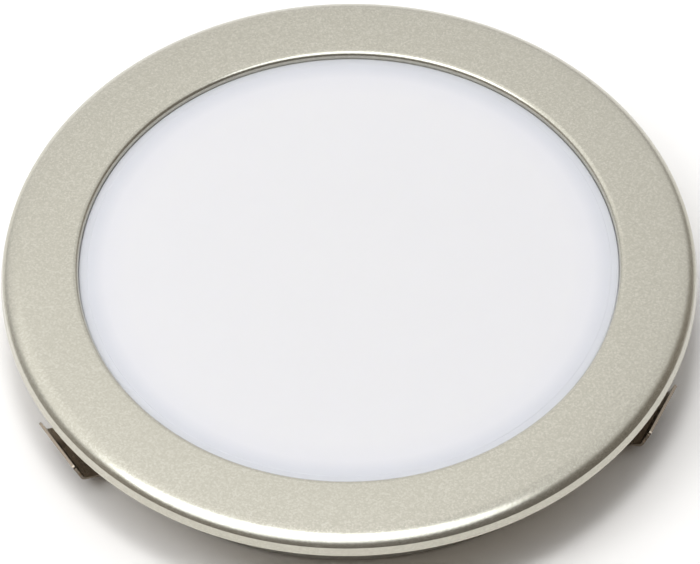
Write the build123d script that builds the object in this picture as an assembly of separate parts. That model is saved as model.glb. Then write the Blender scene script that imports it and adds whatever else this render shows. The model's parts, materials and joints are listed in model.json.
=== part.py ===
from build123d import *
import os
from math import atan2, cos, degrees, radians, sin, sqrt

# A flat round recessed light that lies on its back: a sheet-metal trim ring, an opal
# diffuser, a shallow housing with its light board, and three spring clips.
# Millimetres. The light's axis is Z, the front looks up, and the back plate stands on Z = 0.

# Overall sizes
ring_radius = 32.5
body_depth = 7.1                # from the back to the lower edge of the ring's skirt
ring_height = 1.82              # from there to the ring's face
overall_height = body_depth + ring_height
front_azimuth = 273.0           # midway between the two front clips, anticlockwise from +X
front_spread = 122.0            # between those two; the third clip is opposite them

# Trim ring
face_width = 7.3                # from the window to the outside
window_radius = ring_radius - face_width
window_rounding = 0.5
ring_sheet = 0.9
shoulder_radius = 2.2
skirt_height = 0.96             # from the rim up to the crease under the shoulder
skirt_flare = 0.21              # rim beyond the crease
rim_break = 0.08

# Diffuser and the bond ring that holds it
bond_thickness = 0.2
bond_inset = 0.25
bond_margin = 0.1               # inside the bend of the ring
diffuser_thickness = 1.0        # at the shoulder
diffuser_recess = 0.65          # from the ring's face down to the diffuser's field
window_gap = 0.05               # between the diffuser and the ring's window
field_margin = 0.84             # from the window in to the field's edge
field_step = 0.08               # from the margin up to the field
field_rounding = 0.06
diffuser_shelf = 0.75           # width of the housing's shelf under the diffuser
diffuser_play = 0.15

# Housing and back plate
flange_overhang = 4.5           # ring's rim beyond the body
body_radius = ring_radius - flange_overhang
back_plate_thickness = 0.8
floor_thickness = 1.0
wall_thickness = 1.6
flange_recess = 0.1             # flange face above the rim
flange_play = 0.4               # round the flange, inside the ring's crease
flange_break = 0.3
edge_break = 0.2

# Spring clips
leaf = 0.25
leaf_width = 6.7
leaf_bend = 0.8
lip_width = 6.4
lip_stub = 0.7
lip_corner = 0.4
bead_radius = 0.45
bead_length = 8.0
bead_inset = 1.1                # from the body's side in to the rolled root
bead_height = 1.0
bead_play = 0.05
curl_angle = 260.0
root_angle = -30.0
trough_inset = 0.25
trough_height = 0.18
knee_reach = 3.28               # from the body's side out
knee_height = 1.72
lip_reach = 4.02
lip_height = 3.75
pocket_play = 0.3               # beside the leaf
pocket_wall = 0.9               # housing wall left behind a pocket
pocket_overrun = 1.0            # of the cut past the body's side

# Light board and what it carries
pad_thickness = 0.2
pad_margin = 1.0
board_thickness = 1.0
board_play = 0.5
block_bevel = 0.12               # round the top of each small package
package = (3.5, 2.8, 0.8)
phosphor_radius = 1.1
phosphor_play = 0.05
phosphor_depth = 0.2
phosphor_fill = 0.15
outer_packages = 9
outer_package_share = 0.571     # of the board's radius, as the other shares are
inner_package_share = 0.255
resistor = (3.2, 1.6, 0.6)
resistor_share = 0.417
resistor_spread = 12.0          # degrees either side of an inner package
leg_thickness = 0.2
leg_width = 0.5
leg_reach = 0.7
chip = (4.9, 3.9, 1.5)
chip_legs = 4
chip_pitch = 1.27
rectifier = (4.7, 3.9, 2.2)
rectifier_legs = 2
rectifier_pitch = 2.5
terminal = (4.6, 4.2, 2.4)
driver_share = 0.28             # for the chip, the rectifier and the terminal
terminal_pitch = 2.0
terminal_hole_radius = 0.7
terminal_depth = 2.2
terminal_slot = 0.8
reflector_wall = 0.8
reflector_land = 1.7            # between its foot and the bosses
reflector_slope = 1.4           # between its lip and the housing's wall
reflector_play = 0.3
reflector_gap = 0.1             # below the diffuser

# Screws: three hold the board, three hold the back plate
boss_share = 0.734              # of the board's radius
boss_radius = 1.9
boss_play = 0.2
screw_radius = 0.8
screw_core = 0.05               # between a screw and its hole
screw_play = 0.15               # between a screw and the board
screw_point = 0.2
screw_end = 0.1                 # below or above a screw, to the end of its hole
board_screw_length = 1.9
back_screw_length = 2.5
head_radius = 1.5
head_height = 0.9
head_rounding = 0.4
driver_radius = 0.7
driver_slot = 0.35
driver_depth = 0.45
countersink_radius = 1.5
countersink_depth = 0.6
countersink_play = 0.08
countersink_inset = 0.03

# Cable inlet in the middle of the back
inlet_bore = 1.3
grommet_radius = 2.3
grommet_collar = 3.0
grommet_collar_depth = 0.5
grommet_play = 0.05
grommet_rise = 0.5              # above the housing floor

# Levels that follow from the sizes above
ring_underside = overall_height - ring_sheet
seat_top = ring_underside - bond_thickness
diffuser_underside = seat_top - diffuser_thickness
flange_underside = body_depth + flange_recess
floor_top = back_plate_thickness + floor_thickness
pad_top = floor_top + pad_thickness
board_top = pad_top + board_thickness
wall_inside = body_radius - wall_thickness
bead_axis = body_radius - bead_inset
diffuser_radius = wall_inside + diffuser_shelf - diffuser_play
board_radius = wall_inside - board_play
boss_circle = boss_share * board_radius
driver_circle = driver_share * board_radius
pocket_floor = wall_inside + pocket_wall
pocket_width = leaf_width + 2 * pocket_play

# Azimuths: board screws midway between the clips, and the board's own parts in thirds
clip_azimuths = [front_azimuth + turn for turn in (-180, -front_spread / 2, front_spread / 2)]
next_azimuths = clip_azimuths[1:] + [clip_azimuths[0] + 360]
board_screw_azimuths = [(a + b) / 2 for a, b in zip(clip_azimuths, next_azimuths)]
inner_azimuths = [front_azimuth + turn for turn in (-180, -60, 60)]
terminal_azimuth = front_azimuth - 120
rectifier_azimuth = front_azimuth
chip_azimuth = front_azimuth + 120

# The ring's section: the shoulder's arc ends at the crease, and the inside follows one sheet in
centre_z = overall_height - shoulder_radius
crease_radius = ring_radius - skirt_flare
crease_level = body_depth + skirt_height
crease_rise = crease_level - centre_z
centre_r = crease_radius - sqrt(shoulder_radius ** 2 - crease_rise ** 2)
inside_bend = shoulder_radius - ring_sheet
skirt_length = sqrt(skirt_flare ** 2 + skirt_height ** 2)
normal_r = skirt_height / skirt_length      # the skirt's normal, outward
normal_z = skirt_flare / skirt_length       # and upward
rim_inside = ring_radius - ring_sheet / normal_r
skirt_off = normal_r * (crease_radius - centre_r) + normal_z * crease_rise - ring_sheet
bend_run = sqrt(inside_bend ** 2 - skirt_off ** 2)
inside_r = centre_r + normal_r * skirt_off - normal_z * bend_run
inside_z = centre_z + normal_z * skirt_off + normal_r * bend_run
flange_radius = inside_r - flange_play


def around(azimuth, radius=0.0, z=0.0):
    """Place something at an azimuth, with its own +X pointing away from the axis."""
    return Rot(0, 0, azimuth) * Pos(radius, 0, z)


def disc(radius, low, high):
    """A round slab between two heights."""
    return Pos(0, 0, low) * extrude(Circle(radius), high - low)


def ring_of_revolution(points):
    """Turn a closed outline of radius and height points round the Z axis."""
    return revolve(Plane.XZ * make_face(Polyline(*points, close=True)), Axis.Z)


def block(length, width, height):
    """A small box with a bevelled top that stands on Z = 0."""
    solid = extrude(Rectangle(length, width), height)
    return chamfer(solid.edges().group_by(Axis.Z)[-1], block_bevel)


def upright_cone(low_radius, high_radius, height):
    """A cone that stands on Z = 0."""
    return Cone(low_radius, high_radius, height, align=(Align.CENTER, Align.CENTER, Align.MIN))


def make_trim_ring():
    """Drawn cover: rounded window edge, flat face, shoulder, crease and flared skirt."""
    crease_angle = degrees(atan2(crease_rise, crease_radius - centre_r))
    inside_angle = degrees(atan2(inside_z - centre_z, inside_r - centre_r))
    edge_z = overall_height - window_rounding
    edge_centre = (window_radius + window_rounding, edge_z)
    outline = [
        CenterArc(edge_centre, window_rounding, 90, 90),
        Line((window_radius + window_rounding, overall_height), (centre_r, overall_height)),
        CenterArc((centre_r, centre_z), shoulder_radius, 90, crease_angle - 90),
        Line((crease_radius, crease_level), (ring_radius, body_depth)),
        Line((ring_radius, body_depth), (rim_inside, body_depth)),
        Line((rim_inside, body_depth), (inside_r, inside_z)),
        CenterArc((centre_r, centre_z), inside_bend, inside_angle, 90 - inside_angle),
        Line((centre_r, ring_underside), (window_radius, ring_underside)),
        Line((window_radius, ring_underside), (window_radius, edge_z)),
    ]
    solid = revolve(Plane.XZ * make_face(Wire(outline)), Axis.Z)
    return chamfer(solid.edges().group_by(Axis.Z)[0], rim_break)


def make_bond_ring():
    """Thin adhesive ring under the cover, over the flange and the diffuser's shoulder."""
    inner = window_radius + bond_inset
    outer = centre_r - bond_margin
    return disc(outer, seat_top, ring_underside) - disc(inner, seat_top, ring_underside)


def make_diffuser():
    """Disc that fills the ring's window, with a slightly raised, soft-edged field."""
    field_top = overall_height - diffuser_recess
    solid = disc(diffuser_radius, diffuser_underside, seat_top)
    solid += disc(window_radius - window_gap, diffuser_underside, field_top - field_step)
    solid += disc(window_radius - field_margin, diffuser_underside, field_top)
    top_edge = solid.edges().filter_by(GeomType.CIRCLE).sort_by(Axis.Z)[-1]
    return fillet(top_edge, min(field_rounding, 0.9 * field_step))


def make_reflector():
    """White thin-walled cone with a rim, from the board up to the diffuser."""
    foot = boss_circle + boss_radius + reflector_land
    lip = wall_inside - reflector_slope
    outer = wall_inside - reflector_play
    top = diffuser_underside - reflector_gap
    return ring_of_revolution([
        (foot, board_top),
        (foot + reflector_wall, board_top),
        (lip + reflector_wall / 2, top - reflector_wall),
        (outer, top - reflector_wall),
        (outer, top),
        (lip, top),
    ])


def clip_room(start, low, high):
    """Space for one leaf, from a distance off the light's axis out past the body."""
    depth = body_radius - start + pocket_overrun
    return Pos(start + depth / 2, 0, low) * extrude(Rectangle(depth, pocket_width), high - low)


def bead_groove():
    """Room for the rolled root of one clip, its bare ends included."""
    bore = Circle(bead_radius + bead_play)
    length = bead_length + 2 * bead_play
    return Plane.XZ * Pos(bead_axis, bead_height) * extrude(bore, length / 2, both=True)


def make_housing():
    """Cup with a flange, clip pockets, screw bosses and the hole for the grommet."""
    solid = disc(body_radius, back_plate_thickness, seat_top)
    flange = disc(flange_radius, flange_underside, seat_top)
    flange_chamfer = min(flange_break, (seat_top - flange_underside) / 2)
    solid += chamfer(flange.edges().sort_by(Axis.Z)[-1], flange_chamfer)
    solid -= disc(wall_inside, floor_top, seat_top)
    solid -= disc(diffuser_radius + diffuser_play, diffuser_underside, seat_top)
    for azimuth in clip_azimuths:
        pocket = clip_room(pocket_floor, back_plate_thickness, flange_underside)
        solid -= around(azimuth) * (pocket + bead_groove())
    for azimuth in clip_azimuths:
        boss = disc(boss_radius, floor_top, board_top)
        hole = disc(screw_radius + screw_core, back_plate_thickness, back_screw_length + screw_end)
        solid += around(azimuth, boss_circle) * boss
        solid -= around(azimuth, boss_circle) * hole
    for azimuth in board_screw_azimuths:
        boss = disc(boss_radius, floor_top, pad_top)
        hole = disc(screw_radius + screw_core, board_top - board_screw_length - screw_end, pad_top)
        solid += around(azimuth, boss_circle) * boss
        solid -= around(azimuth, boss_circle) * hole
    return solid - disc(grommet_radius + grommet_play, back_plate_thickness, floor_top)


def make_back_plate():
    """Disc that closes the back, notched where the clips come out."""
    solid = disc(body_radius, 0, back_plate_thickness)
    solid = chamfer(solid.edges().sort_by(Axis.Z)[0], edge_break)
    for azimuth in clip_azimuths:
        notch = clip_room(bead_axis - bead_radius, 0, back_plate_thickness)
        sink = upright_cone(countersink_radius, screw_radius + screw_core, countersink_depth)
        hole = disc(screw_radius + screw_core, 0, back_plate_thickness)
        solid -= around(azimuth) * (notch + bead_groove())
        solid -= around(azimuth, boss_circle) * (sink + hole)
    solid -= disc(grommet_radius + grommet_play, 0, back_plate_thickness)
    return solid - disc(grommet_collar + grommet_play, 0, grommet_collar_depth)


def make_grommet():
    """Flanged sleeve for the cable, flush with the back."""
    solid = disc(grommet_radius, 0, floor_top + grommet_rise)
    solid += disc(grommet_collar, 0, grommet_collar_depth)
    return solid - disc(inlet_bore, 0, floor_top + grommet_rise)


def make_clip():
    """One leaf: rolled root, a trough, the sloping plate, a knee and the upright lip."""
    roll = bead_radius - leaf / 2
    lean = radians(root_angle)
    start = (bead_axis + roll * sin(lean), bead_height - roll * cos(lean))
    trough = (body_radius - trough_inset, trough_height)
    kx, kz = body_radius + knee_reach, knee_height
    run, rise = lip_reach - knee_reach, lip_height - knee_height
    lip_length = sqrt(run ** 2 + rise ** 2)
    up = (run / lip_length, rise / lip_length)
    stub = (kx + lip_stub * up[0], kz + lip_stub * up[1])
    curl = CenterArc((bead_axis, bead_height), roll, root_angle - 90, -curl_angle)
    strip = FilletPolyline(start, trough, (kx, kz), stub, radius=leaf_bend)
    bead = extrude(Plane.XZ * trace(curl, leaf), bead_length / 2, both=True)
    plate = extrude(Plane.XZ * trace(strip, leaf), leaf_width / 2, both=True)
    free_length = lip_length - lip_stub / 2
    outline = Pos(0, lip_stub / 2 + free_length / 2) * Rectangle(lip_width, free_length)
    outline = fillet(outline.vertices().group_by(Axis.Y)[-1], lip_corner)
    lip_plane = Plane(origin=(kx, 0, kz), x_dir=(0, 1, 0), z_dir=(up[1], 0, -up[0]))
    lip = extrude(lip_plane * outline, leaf / 2, both=True)
    return bead + plate + lip


def board_holes(low, high):
    """Clearance holes through a layer for the back screws' bosses and for the wires."""
    holes = disc(grommet_radius + boss_play, low, high)
    for azimuth in clip_azimuths:
        holes += around(azimuth, boss_circle) * disc(boss_radius + boss_play, low, high)
    return holes


def make_board():
    """Round board with the bosses' clearance, the screw holes and a hole for the wires."""
    solid = disc(board_radius, pad_top, board_top) - board_holes(pad_top, board_top)
    for azimuth in board_screw_azimuths:
        solid -= around(azimuth, boss_circle) * disc(screw_radius + screw_play, pad_top, board_top)
    return solid


def make_pad():
    """Soft heat pad under the board, cut back round the board screws' bosses."""
    solid = disc(board_radius - pad_margin, floor_top, pad_top) - board_holes(floor_top, pad_top)
    for azimuth in board_screw_azimuths:
        solid -= around(azimuth, boss_circle) * disc(boss_radius + boss_play, floor_top, pad_top)
    return solid


def package_places():
    """Where the light packages stand: an outer and an inner circle."""
    outer_radius = outer_package_share * board_radius
    inner_radius = inner_package_share * board_radius
    outer = [
        around(front_azimuth + 360 / outer_packages * i, outer_radius, board_top)
        for i in range(outer_packages)
    ]
    return outer + [around(azimuth, inner_radius, board_top) for azimuth in inner_azimuths]


def make_packages():
    """White light packages, each with a round well in its top."""
    length, width, height = package
    well = disc(phosphor_radius + phosphor_play, height - phosphor_depth, height)
    body = block(width, length, height) - well
    return Compound([place * body for place in package_places()])


def make_phosphors():
    """The phosphor that fills the wells, a little below the rim."""
    low = package[2] - phosphor_depth
    return Compound([place * disc(phosphor_radius, low, low + phosphor_fill) for place in package_places()])


def make_resistors():
    """Small flat resistors, one on each side of every inner package's azimuth."""
    length, width, height = resistor
    body = block(width, length, height)
    places = [
        around(azimuth + side * resistor_spread, resistor_share * board_radius, board_top)
        for azimuth in inner_azimuths
        for side in (-1, 1)
    ]
    return Compound([place * body for place in places])


def make_legged(size, pitch, legs):
    """A moulded package with bevelled top and short flat legs along both long sides."""
    length, width, height = size
    body = Pos(0, 0, leg_thickness) * block(length, width, height - leg_thickness)
    span = width + 2 * leg_reach
    leg = Pos(0, 0, leg_thickness / 2) * Box(leg_width, span, leg_thickness)
    riser = Pos(0, 0, leg_thickness) * Box(leg_width, width + leg_reach, 2 * leg_thickness)
    for i in range(legs):
        body += Pos((i - (legs - 1) / 2) * pitch, 0) * (leg + riser)
    return body


def make_terminal():
    """Two-way block with a wire hole and a clamp slot for each way."""
    length, width, height = terminal
    body = block(length, width, height)
    for side in (-1, 1):
        way = side * terminal_pitch / 2
        mouth = Pos(-length / 2, way, height / 2) * Rot(0, 90, 0)
        body -= mouth * disc(terminal_hole_radius, 0, terminal_depth)
        body -= Pos(length / 5, way, height) * Box(length / 3, terminal_slot, terminal_slot)
    return body


def cross_recess(top):
    """Cross-shaped driver recess that goes down from a height."""
    arms = Rectangle(2 * driver_radius, driver_slot) + Rectangle(driver_slot, 2 * driver_radius)
    return Pos(0, 0, top - driver_depth) * extrude(arms, driver_depth)


def make_board_screw():
    """Button-headed screw, its head on the board."""
    head = disc(head_radius, board_top, board_top + head_height)
    head = fillet(head.edges().sort_by(Axis.Z)[-1], head_rounding)
    shank = disc(screw_radius, board_top - board_screw_length, board_top)
    shank = chamfer(shank.edges().sort_by(Axis.Z)[0], screw_point)
    return head + shank - cross_recess(board_top + head_height)


def make_back_screw():
    """Countersunk screw, its head just inside the back plate's face."""
    low = countersink_inset
    head = upright_cone(countersink_radius - countersink_play, screw_radius, countersink_depth)
    shank = disc(screw_radius, low, back_screw_length)
    shank = chamfer(shank.edges().sort_by(Axis.Z)[-1], screw_point)
    return Pos(0, 0, low) * head + shank - cross_recess(low + driver_depth)


parts = {
    "trim_ring": make_trim_ring(),
    "bond_ring": make_bond_ring(),
    "diffuser": make_diffuser(),
    "reflector": make_reflector(),
    "housing": make_housing(),
    "back_plate": make_back_plate(),
    "cable_grommet": make_grommet(),
    "thermal_pad": make_pad(),
    "led_board": make_board(),
    "led_packages": make_packages(),
    "led_phosphors": make_phosphors(),
    "resistors": make_resistors(),
    "driver_chip": around(chip_azimuth, driver_circle, board_top)
    * make_legged(chip, chip_pitch, chip_legs),
    "rectifier": around(rectifier_azimuth, driver_circle, board_top)
    * make_legged(rectifier, rectifier_pitch, rectifier_legs),
    "wire_terminal": around(terminal_azimuth, driver_circle, board_top) * make_terminal(),
}
clip = make_clip()
board_screw = make_board_screw()
back_screw = make_back_screw()
for i, azimuth in enumerate(clip_azimuths, 1):
    parts[f"spring_clip_{i}"] = around(azimuth) * clip
    parts[f"back_screw_{i}"] = around(azimuth, boss_circle) * back_screw
for i, azimuth in enumerate(board_screw_azimuths, 1):
    parts[f"board_screw_{i}"] = around(azimuth, boss_circle) * board_screw

os.makedirs("parts", exist_ok=True)
for node, shape in parts.items():
    export_step(shape, f"parts/{node}.step")
    box = shape.bounding_box()
    print(f"{node:16s} {len(shape.solids()):3d} solids  {shape.volume:9.2f} mm3  z {box.min.Z:.2f} to {box.max.Z:.2f}")
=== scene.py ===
import json
import math

import bpy
from mathutils import Matrix, Vector

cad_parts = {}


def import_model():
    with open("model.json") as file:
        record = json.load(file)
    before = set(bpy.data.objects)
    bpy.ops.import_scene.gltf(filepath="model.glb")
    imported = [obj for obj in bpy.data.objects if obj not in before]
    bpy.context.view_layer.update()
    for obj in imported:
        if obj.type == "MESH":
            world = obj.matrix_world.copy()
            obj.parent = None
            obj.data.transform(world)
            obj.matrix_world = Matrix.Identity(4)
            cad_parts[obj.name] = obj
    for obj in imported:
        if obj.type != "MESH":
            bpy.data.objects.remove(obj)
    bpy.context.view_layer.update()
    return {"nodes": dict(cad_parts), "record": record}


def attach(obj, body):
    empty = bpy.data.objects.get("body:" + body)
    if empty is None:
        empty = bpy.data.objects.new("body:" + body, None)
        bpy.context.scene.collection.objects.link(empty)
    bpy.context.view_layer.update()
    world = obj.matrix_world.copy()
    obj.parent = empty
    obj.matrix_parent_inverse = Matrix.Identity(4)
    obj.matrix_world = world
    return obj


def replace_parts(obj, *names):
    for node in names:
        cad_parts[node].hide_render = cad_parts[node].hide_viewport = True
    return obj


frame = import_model()

# A flat round recessed light on its back on a white table. X points right, Y away and Z up.
# Sections are in millimetres of radius and height, as in the solids, and meshes are in metres.
MM = 0.001

# Trim ring
RIM = 7.1                       # height of its lower edge
TOP = 8.92                      # height of its face
RING = 32.5                     # radius at the rim
SHEET = 0.9                     # wall
SHOULDER = 2.2                  # outside radius of the bend
BEND_START = 44.0               # degrees, where the inside of the bend starts
SKIRT_HEIGHT = 0.96             # from the rim up to the crease
SKIRT_FLARE = 0.21              # rim beyond the crease
RIM_BREAK = 0.08                # both edges of the rim
WINDOW = 25.2                   # radius
WINDOW_ROUNDING = 0.56

# Diffuser: a raised field, a margin round it that shows in the window, and a shoulder
# that the bond ring holds
BOND = 0.2                      # thickness of the bond ring
FIELD_RECESS = 0.65             # from the ring's face down to the field
FIELD_MARGIN = 0.74             # from the window in to the field's edge
FIELD_TOP = TOP - FIELD_RECESS
FIELD_RADIUS = WINDOW - FIELD_MARGIN
FIELD_ROUNDING = 0.12
FIELD_FOOT = 0.06
FIELD_SLOPE = 30.0              # degrees
DIFFUSER_GAP = 0.03             # beside the window
DIFFUSER_ROUNDING = 0.12
DIFFUSER_TOP = TOP - SHEET - BOND
DIFFUSER_RADIUS = 27.0
DIFFUSER_THICKNESS = 1.0
DIFFUSER_CENTRE = 0.01          # radius at which its section stops short of the axis

# Steps of the turned pieces, and the angles in degrees from which an edge is sharp
SEGMENTS = 360
ARC_STEPS = 16
SHOULDER_STEPS = 32
EDGE_STEPS = 8
FOOT_STEPS = 6
PIECE_SHARP = 20
NODE_SHARP = 25

# Lacquer of the ring: its tones as 8-bit screen colours, its flakes and its clouds
GROUND_TONES = ((187, 184, 171), (198, 195, 181))
FLAKE_TONE = (232, 229, 218)
FLAKE_SCALE = 7000.0
FLAKE_POWER = 2.0               # makes bright flakes fewer
FLAKE_SHARE = 0.34
CLOUD_TONE = (182, 177, 162)
CLOUD_SCALE = 90.0
CLOUD_SHARE = 0.12

# Opal plastic: the stops are a share of the window's radius and the colour there
OPAL_TONE_AND_EDGE_SHADE = [
    (0.0, (0.67, 0.67, 0.685, 1)),
    (0.82, (0.67, 0.67, 0.69, 1)),
    # From here to the edge the stops are painted shade: darker and bluer, where the ring's wall
    # shades the opal and less light comes through it from behind
    (0.905, (0.65, 0.653, 0.685, 1)),
    (0.95, (0.575, 0.587, 0.63, 1)),
    (1.0, (0.54, 0.556, 0.60, 1)),
]
OPAL_CLOUD = (0.80, 0.80, 0.83, 1)
OPAL_CLOUD_SCALE = 60.0
OPAL_CLOUD_SHARE = 0.05

FINE_GRAIN = 3000.0             # noise scale of the lacquer's peel and the opal's haze
PLAIN_GRAIN = 900.0             # noise scale of the plain materials
PLAIN_CLOUDS = PLAIN_GRAIN / 14
PLAIN_GRAIN_SHARE = 0.25
PLAIN_ROUGHNESS_SPAN = 0.14

# Sockets of a Mix node that mixes colours
MIX_FACTOR, MIX_A, MIX_B = 0, 6, 7
MIX_RESULT = 2

# Plain materials: two colours that each wanders between, roughness, metallic, and the
# stretch of the grain along X, Y and Z
PLAIN = {
    "bond": ((0.02, 0.02, 0.022, 1), (0.035, 0.035, 0.035, 1), 0.8, 0.0, None),
    "white_plastic": ((0.82, 0.82, 0.82, 1), (0.76, 0.76, 0.75, 1), 0.4, 0.0, None),
    "die_cast": ((0.60, 0.56, 0.50, 1), (0.53, 0.49, 0.43, 1), 0.48, 0.35, None),
    "back_sheet": ((0.50, 0.49, 0.46, 1), (0.44, 0.43, 0.40, 1), 0.38, 0.95, (1.0, 12.0, 1.0)),
    "grommet": ((0.02, 0.02, 0.02, 1), (0.035, 0.034, 0.033, 1), 0.62, 0.0, None),
    "heat_pad": ((0.30, 0.33, 0.36, 1), (0.26, 0.28, 0.31, 1), 0.85, 0.0, None),
    "board_white": ((0.80, 0.80, 0.77, 1), (0.74, 0.74, 0.71, 1), 0.4, 0.0, None),
    "package_white": ((0.76, 0.74, 0.66, 1), (0.70, 0.68, 0.60, 1), 0.5, 0.0, None),
    "phosphor": ((0.78, 0.50, 0.06, 1), (0.72, 0.44, 0.05, 1), 0.3, 0.0, None),
    "resistor_black": ((0.015, 0.015, 0.017, 1), (0.03, 0.03, 0.03, 1), 0.45, 0.0, None),
    "chip_black": ((0.012, 0.012, 0.013, 1), (0.022, 0.022, 0.023, 1), 0.55, 0.0, None),
    "terminal_white": ((0.74, 0.74, 0.70, 1), (0.68, 0.68, 0.64, 1), 0.45, 0.0, None),
    "spring_steel": ((0.36, 0.305, 0.245, 1), (0.29, 0.245, 0.195, 1), 0.26, 1.0, (1.0, 1.0, 6.0)),
    "screw_steel": ((0.46, 0.455, 0.44, 1), (0.38, 0.375, 0.36, 1), 0.3, 1.0, None),
}

# Table top
TABLE_WIDTH = 6.0
TABLE_GRAIN = 220.0
TABLE_TONES = ((0.87, 0.865, 0.858, 1), (0.89, 0.885, 0.878, 1))
TABLE_ROUGHNESS = 0.5

# The room round the table, for each direction's X, Y and Z. The horizon's stops go from the
# front right, at 0, to the back left, at 1. Above it the ceiling begins.
HORIZON = [
    (0.0, (0.05, 0.038, 0.026)),
    (0.4, (0.14, 0.112, 0.083)),
    (0.5, (0.19, 0.157, 0.122)),
    (0.68, (0.26, 0.24, 0.212)),
    (0.85, (0.37, 0.36, 0.35)),
    (0.93, (0.47, 0.47, 0.47)),
    (1.0, (0.75, 0.75, 0.75)),
]
HORIZON_AXIS = (-0.35, 0.94)    # X and Y of the direction of its last stop
CEILING = (0.83, 0.93)          # brightness at the right and at the left
CEILING_TURN = (-0.1, 0.5)      # -X of the direction, over which it changes
CEILING_LEAN = (-0.12, 0.55)    # share of X and Y added to Z before it is compared
CEILING_EDGE = (0.42, 0.80)     # that height, where the ceiling begins and where it is full

# Camera, fitted to the ring's outline and window in the photograph
CAMERA_TILT = 51.894            # degrees down
CAMERA_ROLL = -1.0              # degrees
CAMERA_DISTANCE = 0.520
CAMERA_TARGET = (0.073, -1.174, RIM)
FOCAL_PIXELS = 5579.0
PICTURE_PIXELS = 700.0
SENSOR_WIDTH = 36.0
CLIP_START = 0.01
CLIP_END = 10.0


def srgb(r, g, b):
    """An 8-bit screen colour as linear light, with alpha."""
    def one(v):
        v /= 255
        return v / 12.92 if v <= 0.04045 else ((v + 0.055) / 1.055) ** 2.4
    return (one(r), one(g), one(b), 1.0)


class Nodes:
    """A small helper that builds a material's node graph."""

    def __init__(self, name):
        self.material = bpy.data.materials.new(name)
        self.material.use_nodes = True
        self.tree = self.material.node_tree
        self.tree.nodes.clear()
        self.out = self.add("ShaderNodeOutputMaterial")

    def add(self, kind, links=None, **values):
        """A node, with its settings or input values, and links by input name."""
        node = self.tree.nodes.new(kind)
        for key, value in values.items():
            if hasattr(node, key):
                setattr(node, key, value)
            else:
                node.inputs[key.replace("_", " ")].default_value = value
        for name, source in (links or {}).items():
            self.link(source, node.inputs[name])
        return node

    def link(self, source, target):
        """A node's first output, or the one that a pair of node and output names."""
        if isinstance(source, tuple):
            output = source[0].outputs[source[1]]
        else:
            output = source.outputs[0]
        self.tree.links.new(output, target)

    def feed(self, socket, v):
        """Sets a number or a colour, and links anything else."""
        first = v[0] if isinstance(v, tuple) else v
        if isinstance(first, (int, float)):
            socket.default_value = v
        else:
            self.link(v, socket)

    def coords(self):
        return (self.add("ShaderNodeTexCoord"), "Object")

    def maths(self, op, *values):
        node = self.add("ShaderNodeMath", operation=op)
        for socket, v in zip(node.inputs, values):
            self.feed(socket, v)
        return node

    def spread(self, source, span, base=None):
        """A value between 0 and 1 scaled to a span, and lifted where there is a base."""
        scaled = self.maths("MULTIPLY", source, span)
        return scaled if base is None else self.maths("ADD", scaled, base)

    def mix(self, factor, a, b):
        """Colour a, turning into colour b as the factor rises."""
        node = self.add("ShaderNodeMix", data_type="RGBA")
        for index, v in ((MIX_FACTOR, factor), (MIX_A, a), (MIX_B, b)):
            self.feed(node.inputs[index], v)
        return (node, MIX_RESULT)

    def ramp(self, source, stops):
        node = self.add("ShaderNodeValToRGB", {"Fac": source})
        elements = node.color_ramp.elements
        while len(elements) < len(stops):
            elements.new(0.5)
        for element, (place, colour) in zip(elements, stops):
            element.position = place
            element.color = colour
        return node

    def noise(self, scale, detail, rough, vector=None):
        return self.add(
            "ShaderNodeTexNoise", {"Vector": vector or self.coords()},
            Scale=scale, Detail=detail, Roughness=rough,
        )

    def bump(self, height, strength, distance):
        return self.add("ShaderNodeBump", {"Height": height}, Strength=strength, Distance=distance)

    def surface(self, links, **values):
        shader = self.add("ShaderNodeBsdfPrincipled", links, **values)
        self.link((shader, "BSDF"), self.out.inputs["Surface"])


def ring_lacquer():
    """Satin metallic lacquer with a fine light flake."""
    n = Nodes("ring_lacquer")
    flake = n.add("ShaderNodeTexVoronoi", {"Vector": n.coords()}, Scale=FLAKE_SCALE)
    shine = n.add("ShaderNodeSeparateColor", {"Color": (flake, "Color")})
    grain = n.noise(FINE_GRAIN, detail=2.0, rough=0.5)
    cloud = n.noise(CLOUD_SCALE, detail=3.0, rough=0.55)
    tone = n.mix((grain, 0), srgb(*GROUND_TONES[0]), srgb(*GROUND_TONES[1]))
    bright = n.maths("POWER", (shine, 0), FLAKE_POWER)
    tone = n.mix(n.spread(bright, FLAKE_SHARE), tone, srgb(*FLAKE_TONE))
    tone = n.mix(n.spread((cloud, 0), CLOUD_SHARE), tone, srgb(*CLOUD_TONE))
    rough = n.spread((grain, 0), span=0.12, base=0.17)
    peel = n.bump((grain, 0), strength=0.08, distance=0.00002)
    n.surface(
        {"Base Color": tone, "Roughness": rough, "Normal": peel},
        Metallic=0.82, Coat_Weight=0.2, Coat_Roughness=0.16,
    )
    return n.material


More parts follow.
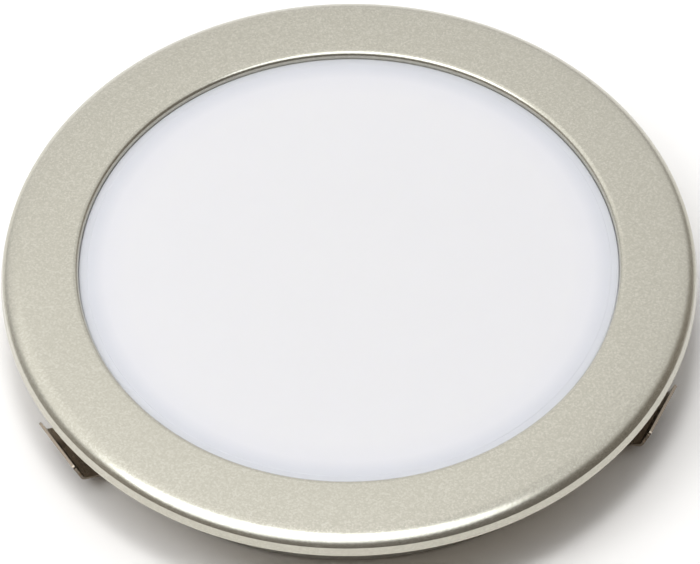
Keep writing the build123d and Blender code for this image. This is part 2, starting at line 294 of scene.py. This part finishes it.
def opal():
    """Milky white plastic, with painted shade: a little bluer and darker towards its edge, where
    the ring's wall shades it.
    """
    n = Nodes("opal")
    place = n.add("ShaderNodeSeparateXYZ", {"Vector": n.coords()})
    square_x = n.maths("MULTIPLY", (place, 0), (place, 0))
    square_y = n.maths("MULTIPLY", (place, 1), (place, 1))
    distance = n.maths("SQRT", n.maths("ADD", square_x, square_y))
    radius = n.maths("DIVIDE", distance, WINDOW * MM)
    # The ramp holds the opal's own colour in the middle and painted shade towards the window's
    # edge
    tone = n.ramp(radius, OPAL_TONE_AND_EDGE_SHADE)
    cloud = n.noise(OPAL_CLOUD_SCALE, detail=3.0, rough=0.5)
    tone = n.mix(n.spread((cloud, 0), OPAL_CLOUD_SHARE), (tone, 0), OPAL_CLOUD)
    haze = n.noise(FINE_GRAIN, detail=2.0, rough=0.5)
    rough = n.spread((haze, 0), span=0.08, base=0.32)
    normal = n.bump((haze, 0), strength=0.05, distance=0.00001)
    n.surface(
        {"Base Color": tone, "Roughness": rough, "Normal": normal},
        Subsurface_Weight=0.5, Subsurface_Radius=(0.002, 0.002, 0.0022),
        Subsurface_Scale=1.0, IOR=1.49,
    )
    return n.material


def plain(name, colour, second, rough, metallic, stretch):
    """A colour that wanders slightly, with roughness and bump from the same grain."""
    n = Nodes(name)
    vector = n.coords()
    if stretch:
        vector = n.add("ShaderNodeMapping", {"Vector": vector}, Scale=stretch)
    grain = n.noise(PLAIN_GRAIN, detail=4.0, rough=0.6, vector=vector)
    cloud = n.noise(PLAIN_CLOUDS, detail=3.0, rough=0.5)
    tone = n.mix((cloud, 0), colour, second)
    tone = n.mix(n.spread((grain, 0), PLAIN_GRAIN_SHARE), tone, second)
    roughness = n.spread((grain, 0), PLAIN_ROUGHNESS_SPAN, rough - PLAIN_ROUGHNESS_SPAN / 2)
    normal = n.bump((grain, 0), strength=0.1, distance=0.00002)
    n.surface({"Base Color": tone, "Roughness": roughness, "Normal": normal}, Metallic=metallic)
    return n.material


MATERIALS = {"ring_lacquer": ring_lacquer(), "opal": opal()}
for slot, looks in PLAIN.items():
    MATERIALS[slot] = plain(slot, *looks)


def arc(centre_r, centre_z, radius, start, end, steps=ARC_STEPS):
    """Points of a section along an arc, between two angles in degrees."""
    turns = [math.radians(start + (end - start) * i / steps) for i in range(steps + 1)]
    return [(centre_r + radius * math.cos(t), centre_z + radius * math.sin(t)) for t in turns]


def lathe(name, section, material):
    """A closed section of radius and height points, turned round the axis."""
    verts, faces = [], []
    count = len(section)
    for i in range(SEGMENTS):
        turn = 2 * math.pi * i / SEGMENTS
        verts += [(r * math.cos(turn) * MM, r * math.sin(turn) * MM, z * MM) for r, z in section]
        here, there = i * count, (i + 1) % SEGMENTS * count
        for k in range(count):
            m = (k + 1) % count
            faces.append((here + k, there + k, there + m, here + m))
    mesh = bpy.data.meshes.new(name)
    mesh.from_pydata(verts, [], faces)
    mesh.polygons.foreach_set("use_smooth", [True] * len(mesh.polygons))
    mesh.set_sharp_from_angle(angle=math.radians(PIECE_SHARP))
    mesh.materials.append(MATERIALS[material])
    piece = bpy.data.objects.new(name, mesh)
    bpy.context.collection.objects.link(piece)
    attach(piece, "light")
    return piece


def ring_section():
    """The drawn cover: window edge, face, shoulder down to the crease, flared skirt, inside."""
    centre_z = TOP - SHOULDER
    crease_r, crease_z = RING - SKIRT_FLARE, RIM + SKIRT_HEIGHT
    centre_r = crease_r - math.sqrt(SHOULDER ** 2 - (crease_z - centre_z) ** 2)
    crease = math.degrees(math.atan2(crease_z - centre_z, crease_r - centre_r))
    edge_r, edge_z = WINDOW + WINDOW_ROUNDING, TOP - WINDOW_ROUNDING
    lean = SKIRT_FLARE / SKIRT_HEIGHT
    return (
        arc(edge_r, edge_z, WINDOW_ROUNDING, 180, 90)
        + arc(centre_r, centre_z, SHOULDER, 90, crease, SHOULDER_STEPS)
        + [(RING - lean * RIM_BREAK, RIM + RIM_BREAK), (RING - RIM_BREAK, RIM)]
        + [(RING - SHEET - RIM_BREAK, RIM)]
        + arc(centre_r, centre_z, SHOULDER - SHEET, BEND_START, 90)
        + [(WINDOW, TOP - SHEET)]
    )


def diffuser_section():
    """The opal disc: a field with a soft edge, a margin just below it, and the shoulder."""
    low = DIFFUSER_TOP - DIFFUSER_THICKNESS
    side = WINDOW - DIFFUSER_GAP
    slope = math.radians(FIELD_SLOPE)
    run = (FIELD_ROUNDING + FIELD_FOOT) * math.sin(slope)
    margin = FIELD_TOP - (FIELD_ROUNDING + FIELD_FOOT) * (1 - math.cos(slope))
    start = FIELD_RADIUS - run
    edge_r, edge_z = side - DIFFUSER_ROUNDING, margin - DIFFUSER_ROUNDING
    return (
        [(DIFFUSER_CENTRE, FIELD_TOP)]
        + arc(start, FIELD_TOP - FIELD_ROUNDING, FIELD_ROUNDING, 90, 90 - FIELD_SLOPE, EDGE_STEPS)
        + arc(FIELD_RADIUS, margin + FIELD_FOOT, FIELD_FOOT, 270 - FIELD_SLOPE, 270, FOOT_STEPS)
        + arc(edge_r, edge_z, DIFFUSER_ROUNDING, 90, 0, EDGE_STEPS)
        + [(side, DIFFUSER_TOP), (DIFFUSER_RADIUS, DIFFUSER_TOP)]
        + [(DIFFUSER_RADIUS, low), (DIFFUSER_CENTRE, low)]
    )


for entry in frame["record"]["subparts"]:
    node = frame["nodes"][entry["node"]]
    node.data.materials.clear()
    node.data.materials.append(MATERIALS[entry["material_slot"]])
    node.data.polygons.foreach_set("use_smooth", [True] * len(node.data.polygons))
    node.data.set_sharp_from_angle(angle=math.radians(NODE_SHARP))

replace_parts(lathe("ring_cover", ring_section(), "ring_lacquer"), "trim_ring")
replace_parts(lathe("diffuser_disc", diffuser_section(), "opal"), "diffuser")


def table():
    """Wide white table top."""
    bpy.ops.mesh.primitive_plane_add(size=TABLE_WIDTH, location=(0, 0, 0))
    floor = bpy.context.object
    floor.name = "table"
    n = Nodes("table")
    grain = n.noise(TABLE_GRAIN, detail=3.0, rough=0.5)
    tone = n.mix((grain, 0), *TABLE_TONES)
    n.surface({"Base Color": tone}, Roughness=TABLE_ROUGHNESS)
    floor.data.materials.append(n.material)


def turned(across, along, back, place):
    """The matrix of an object at a place, from the directions of its own three axes."""
    return Matrix((
        (across.x, along.x, back.x, place[0]),
        (across.y, along.y, back.y, place[1]),
        (across.z, along.z, back.z, place[2]),
        (0, 0, 0, 1),
    ))


def area_light(
    name, place, aim, size, power,
    colour=(1, 1, 1), shape="RECTANGLE", glossy=True, diffuse=True,
):
    """A soft light that faces a point, its first side level and along X."""
    data = bpy.data.lights.new(name, "AREA")
    data.shape = shape
    data.size, data.size_y = size
    data.energy = power
    data.color = colour
    lamp = bpy.data.objects.new(name, data)
    bpy.context.collection.objects.link(lamp)
    away = (Vector(place) - Vector(aim)).normalized()
    across = Vector((0, 1, 0)).cross(away).normalized()
    lamp.matrix_world = turned(across, away.cross(across), away, place)
    lamp.visible_glossy = glossy
    lamp.visible_diffuse = diffuse


def world():
    """Soft light from all round: dim at the front right, brighter behind, brightest above."""
    studio = bpy.data.worlds.new("studio")
    bpy.context.scene.world = studio
    studio.use_nodes = True
    tree = studio.node_tree

    def maths(op, *values):
        node = tree.nodes.new("ShaderNodeMath")
        node.operation = op
        for socket, v in zip(node.inputs, values):
            if isinstance(v, bpy.types.NodeSocket):
                tree.links.new(v, socket)
            else:
                socket.default_value = v
        return node.outputs[0]

    def rise(value, low, high):
        """A smooth step from 0 to 1 between two values."""
        node = tree.nodes.new("ShaderNodeMapRange")
        node.interpolation_type = "SMOOTHSTEP"
        tree.links.new(value, node.inputs["Value"])
        node.inputs["From Min"].default_value = low
        node.inputs["From Max"].default_value = high
        return node.outputs[0]

    coords = tree.nodes.new("ShaderNodeTexCoord")
    split = tree.nodes.new("ShaderNodeSeparateXYZ")
    tree.links.new(coords.outputs["Generated"], split.inputs[0])
    x, y, z = split.outputs

    along_x = maths("MULTIPLY", x, HORIZON_AXIS[0])
    along_y = maths("MULTIPLY", y, HORIZON_AXIS[1])
    # Half of the cosine and a half more runs from 0 to 1.
    share = maths("MULTIPLY_ADD", maths("ADD", along_x, along_y), 0.5, 0.5)
    ramp = tree.nodes.new("ShaderNodeValToRGB")
    tree.links.new(share, ramp.inputs["Fac"])
    elements = ramp.color_ramp.elements
    while len(elements) < len(HORIZON):
        elements.new(0.5)
    for element, (at, colour) in zip(elements, HORIZON):
        element.position = at
        element.color = (*colour, 1)

    right, left = CEILING
    leftward = rise(maths("MULTIPLY", x, -1.0), *CEILING_TURN)
    ceiling = maths("MULTIPLY_ADD", leftward, left - right, right)
    height = maths("MULTIPLY_ADD", x, CEILING_LEAN[0], z)
    height = maths("MULTIPLY_ADD", y, CEILING_LEAN[1], height)
    mix = tree.nodes.new("ShaderNodeMix")
    mix.data_type = "RGBA"
    tree.links.new(rise(height, *CEILING_EDGE), mix.inputs[MIX_FACTOR])
    tree.links.new(ramp.outputs["Color"], mix.inputs[MIX_A])
    tree.links.new(ceiling, mix.inputs[MIX_B])
    background = tree.nodes["Background"]
    tree.links.new(mix.outputs[MIX_RESULT], background.inputs["Color"])
    background.inputs["Strength"].default_value = 1.0


def camera():
    """The fitted view: from the front and above, a long lens, the light filling the frame."""
    tilt, roll = math.radians(CAMERA_TILT), math.radians(CAMERA_ROLL)
    forward = Vector((0, math.cos(tilt), -math.sin(tilt)))
    level = Vector((1, 0, 0))
    rise = level.cross(forward)
    c, s = math.cos(roll), math.sin(roll)
    side, up = c * level + s * rise, c * rise - s * level
    target = Vector([v * MM for v in CAMERA_TARGET])
    data = bpy.data.cameras.new("camera")
    data.sensor_width = SENSOR_WIDTH
    data.lens = FOCAL_PIXELS / PICTURE_PIXELS * SENSOR_WIDTH
    data.clip_start, data.clip_end = CLIP_START, CLIP_END
    cam = bpy.data.objects.new("camera", data)
    bpy.context.collection.objects.link(cam)
    cam.matrix_world = turned(side, up, -forward, target - forward * CAMERA_DISTANCE)
    bpy.context.scene.camera = cam


table()
world()

# The lights, in metres and watts. The first three light the table and the diffuser and stay
# out of reflections. The card and the panel show only as reflections.
area_light(
    "key", place=(-0.11, 0.0, 0.60), aim=(0, 0, 0), size=(0.40, 0.30), power=1.25, glossy=False,
)
area_light(
    "top", place=(-0.02, 0.0, 0.60), aim=(0, 0, 0), size=(0.13, 0.13), power=0.90, glossy=False,
)
area_light(
    "fill", place=(-0.385, -0.06, 0.475), aim=(0, 0, 0), size=(0.23, 0.20), power=0.70,
    glossy=False,
)
area_light(
    "card", place=(-0.18, -0.295, 0.60), aim=(-0.18, -0.295, 0), size=(1.14, 0.55), power=3.55,
    colour=(0.95, 1.0, 1.06), shape="ELLIPSE", diffuse=False,
)
area_light(
    "panel", place=(-0.205, 0.04, 0.25), aim=(-0.205, 0.04, 0), size=(0.46, 0.31), power=0.15,
    diffuse=False,
)
camera()
bpy.context.scene.view_settings.view_transform = "Standard"
bpy.context.scene.view_settings.look = "None"
